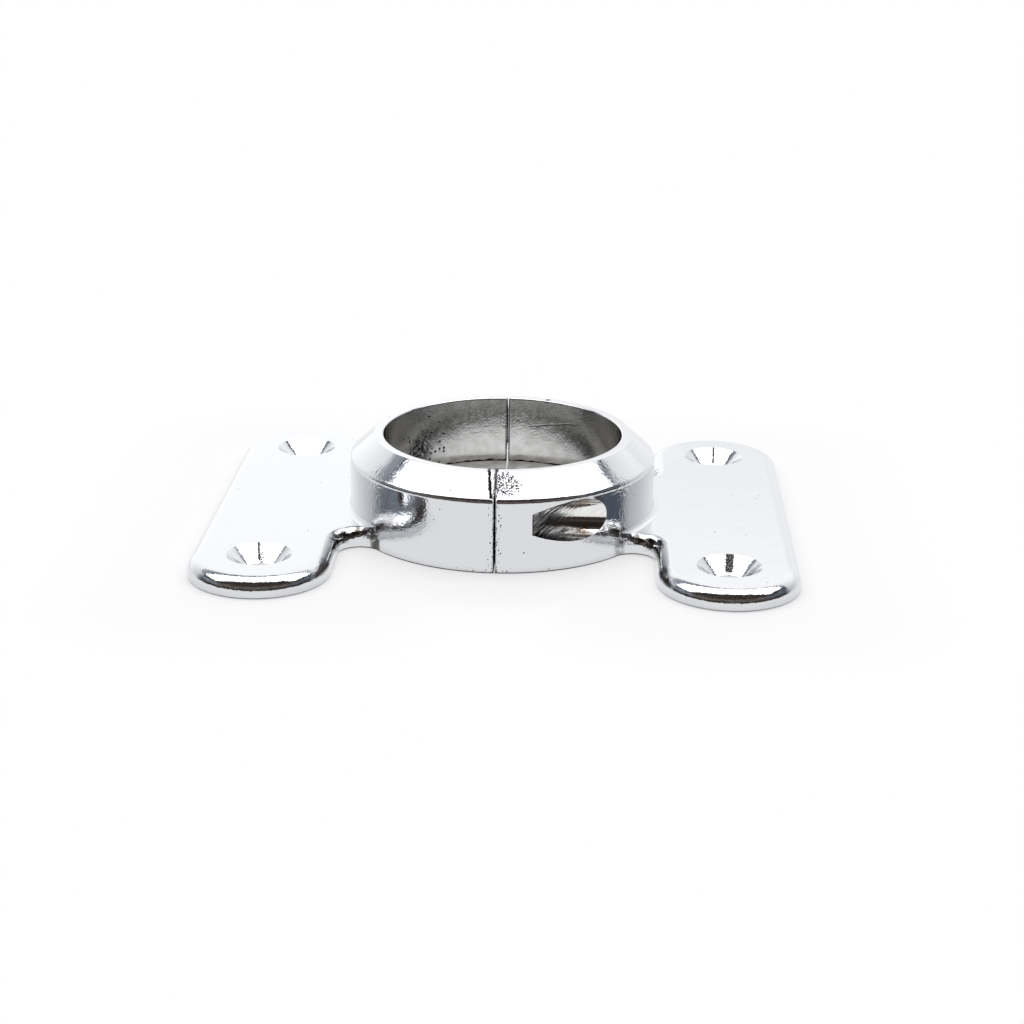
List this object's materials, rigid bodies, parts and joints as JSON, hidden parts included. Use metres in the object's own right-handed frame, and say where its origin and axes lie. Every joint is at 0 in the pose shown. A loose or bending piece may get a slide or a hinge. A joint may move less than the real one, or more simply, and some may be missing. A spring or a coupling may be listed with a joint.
{
  "type": "split pipe anchor",
  "caption": "Split chrome pipe anchor: cast half rings with screw-down plates clamp round the foot of an upright tube and hold it to a floor, wall or worktop.",
  "frame": {"origin": "on the tube's axis, in the base plane that lies on the mounting surface", "axes": "+Z along the tube, out of the ring; +X from the left plate to the right plate, across the seam"},
  "size_m": [0.1216, 0.0984, 0.0198],
  "materials": {
    "chrome_casting": "bright chrome plating on a zinc casting, bore left rough",
    "dark_steel": "dark steel screws"
  },
  "bodies": {
    "root": {"left_half": "chrome_casting", "right_half": "chrome_casting", "clamp_screws": "dark_steel"}
  },
  "joints": []
}
